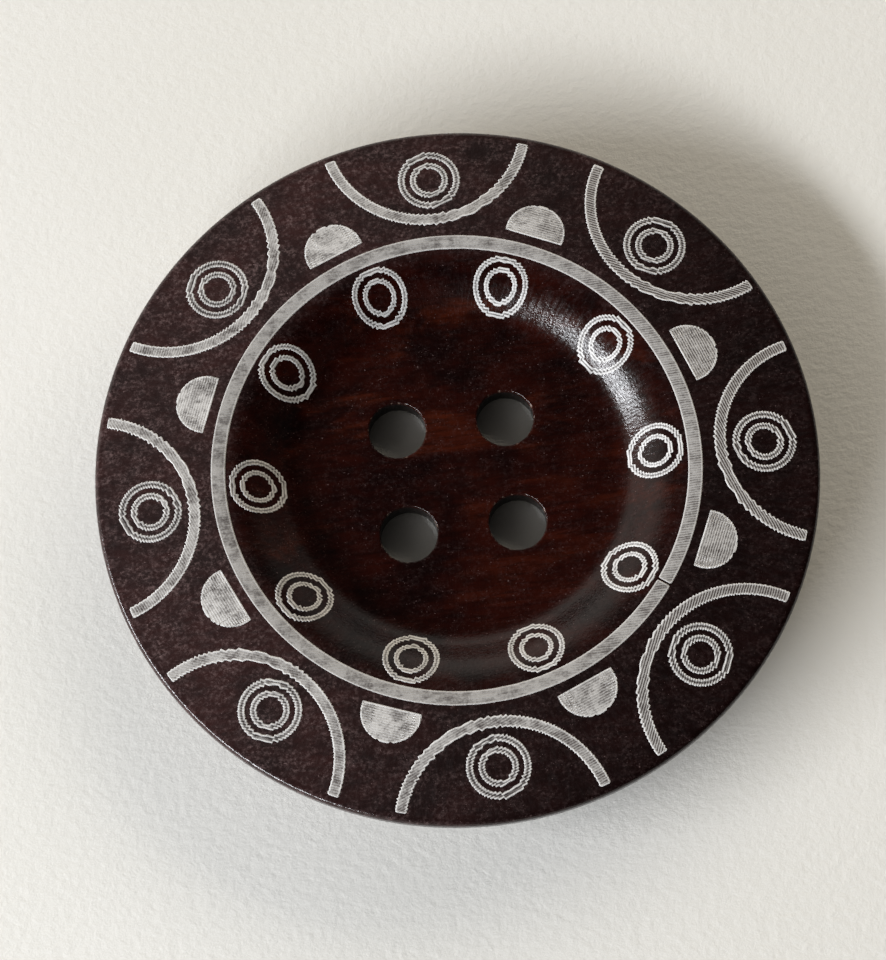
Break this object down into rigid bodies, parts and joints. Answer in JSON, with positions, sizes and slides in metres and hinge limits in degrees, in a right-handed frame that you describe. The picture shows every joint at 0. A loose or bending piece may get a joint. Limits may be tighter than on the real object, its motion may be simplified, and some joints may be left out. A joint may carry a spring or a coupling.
{
  "type": "sew-on button",
  "caption": "Large round wooden button with a shallow bowl, thread holes to sew it on, and a laser-frosted pattern of rings, arcs and half moons.",
  "frame": {"origin": "middle of the flat back, where the button lies on the cloth, on the disc's axis", "axes": "+Z along the disc's axis, out of the front; the thread holes' square is aligned with X and Y"},
  "size_m": [0.06, 0.06, 0.0052],
  "materials": {
    "stained_wood": "satin lacquer over dark stain",
    "laser_mark": "matt, frosted by the laser"
  },
  "bodies": {
    "root": {"button_body": "stained_wood", "border_ring": "laser_mark", "rim_arc_1": "laser_mark", "rim_arc_2": "laser_mark", "rim_arc_3": "laser_mark", "rim_arc_4": "laser_mark", "rim_arc_5": "laser_mark", "rim_arc_6": "laser_mark", "rim_arc_7": "laser_mark", "rim_arc_8": "laser_mark", "rim_rings_1": "laser_mark", "rim_rings_2": "laser_mark", "rim_rings_3": "laser_mark", "rim_rings_4": "laser_mark", "rim_rings_5": "laser_mark", "rim_rings_6": "laser_mark", "rim_rings_7": "laser_mark", "rim_rings_8": "laser_mark", "half_moon_1": "laser_mark", "half_moon_2": "laser_mark", "half_moon_3": "laser_mark", "half_moon_4": "laser_mark", "half_moon_5": "laser_mark", "half_moon_6": "laser_mark", "half_moon_7": "laser_mark", "half_moon_8": "laser_mark", "bowl_rings_1": "laser_mark", "bowl_rings_2": "laser_mark", "bowl_rings_3": "laser_mark", "bowl_rings_4": "laser_mark", "bowl_rings_5": "laser_mark", "bowl_rings_6": "laser_mark", "bowl_rings_7": "laser_mark", "bowl_rings_8": "laser_mark", "bowl_rings_9": "laser_mark", "bowl_rings_10": "laser_mark"}
  },
  "joints": []
}
